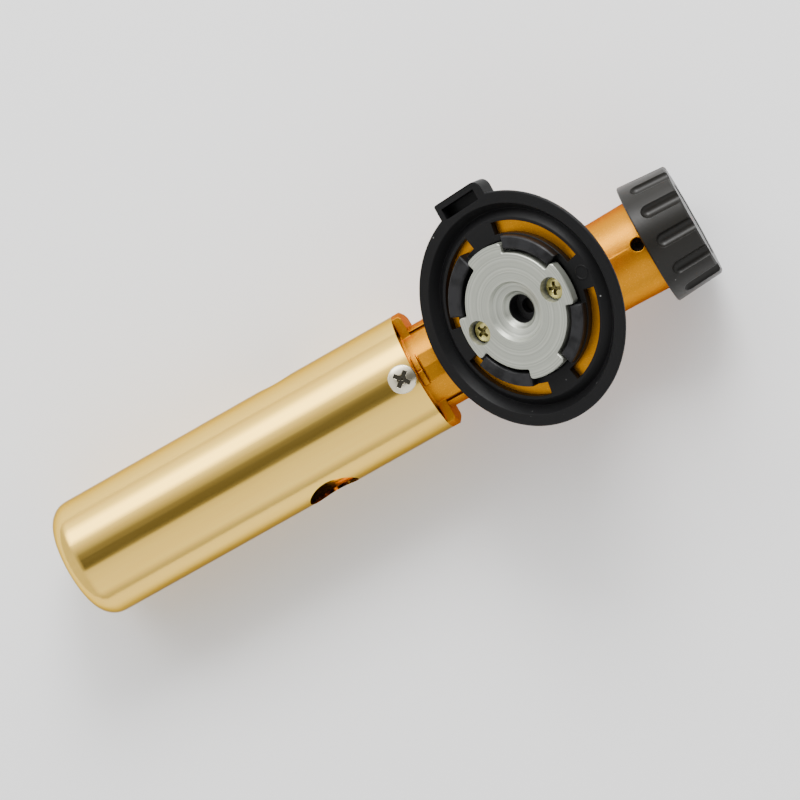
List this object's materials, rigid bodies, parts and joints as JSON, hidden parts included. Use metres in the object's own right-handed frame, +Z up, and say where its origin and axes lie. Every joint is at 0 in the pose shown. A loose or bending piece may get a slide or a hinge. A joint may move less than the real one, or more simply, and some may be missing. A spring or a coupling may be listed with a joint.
{
  "type": "butane torch",
  "caption": "Butane torch head: polished flame tube on a gold cast body, with a black bayonet guide disc for a gas canister and a fluted gas valve knob.",
  "frame": {"origin": "centre of the mouth of the valve stem socket, in the middle of the aluminium bayonet plate", "axes": "+X along the flame tube towards the flame, +Z up towards the side where the canister is fitted, with the canister axis leaning 30.4 degrees from +Z towards +X"},
  "size_m": [0.1851, 0.063, 0.0651],
  "materials": {
    "champagne_tube": "polished steel with a champagne-gold tint",
    "gold_casting": "metallic gold paint over a die casting",
    "black_plastic": "satin moulded nylon",
    "knob_plastic": "semi-gloss moulded plastic",
    "turned_aluminium": "turned, fine concentric tool marks",
    "yellow_zinc_screw": "bright yellow plated",
    "nickel_screw": "bright nickel plated",
    "machined_brass": "machined",
    "heat_steel": "plain stainless",
    "sintered_bronze": "sintered, porous",
    "copper": "soft copper",
    "seal_rubber": "nitrile rubber",
    "white_packing": "PTFE",
    "pointer_red": "moulded red"
  },
  "bodies": {
    "torch": {"body_casting": "gold_casting", "guide_disc": "black_plastic", "bayonet_plate": "turned_aluminium", "bayonet_screws": "yellow_zinc_screw", "stem_seal": "seal_rubber", "adapter_o_ring": "seal_rubber", "inlet_filter": "sintered_bronze", "flame_tube": "champagne_tube", "flame_tube_screws": "nickel_screw", "mixing_tube": "heat_steel", "burner_head": "machined_brass", "burner_gauze": "heat_steel", "centring_spider": "heat_steel", "gas_jet": "machined_brass", "jet_washer": "copper", "jet_filter": "sintered_bronze", "gland_nut": "machined_brass", "gland_washer": "copper", "gland_packing": "white_packing", "grub_screw": "heat_steel"},
    "lifting_seal": {"spindle_o_ring": "seal_rubber"},
    "knob_and_needle": {"control_knob": "knob_plastic", "knob_insert": "machined_brass", "knob_screw": "nickel_screw", "knob_cap": "knob_plastic", "knob_pointer": "pointer_red", "needle_spindle": "machined_brass"}
  },
  "joints": [
    {"name": "spindle_lift", "type": "slide", "parent": "torch", "child": "lifting_seal", "axis": [1, 0, 0], "range_m": [-0.00105, 0]},
    {"name": "knob_turn", "type": "hinge", "parent": "lifting_seal", "child": "knob_and_needle", "pos_m": [-0.04, 0, -0.031], "axis": [1, 0, 0], "range_deg": [0, 500]}
  ],
  "couplings": [
    {"joint": "spindle_lift", "follows": "knob_turn", "m_per_rad": -0.00011937}
  ]
}
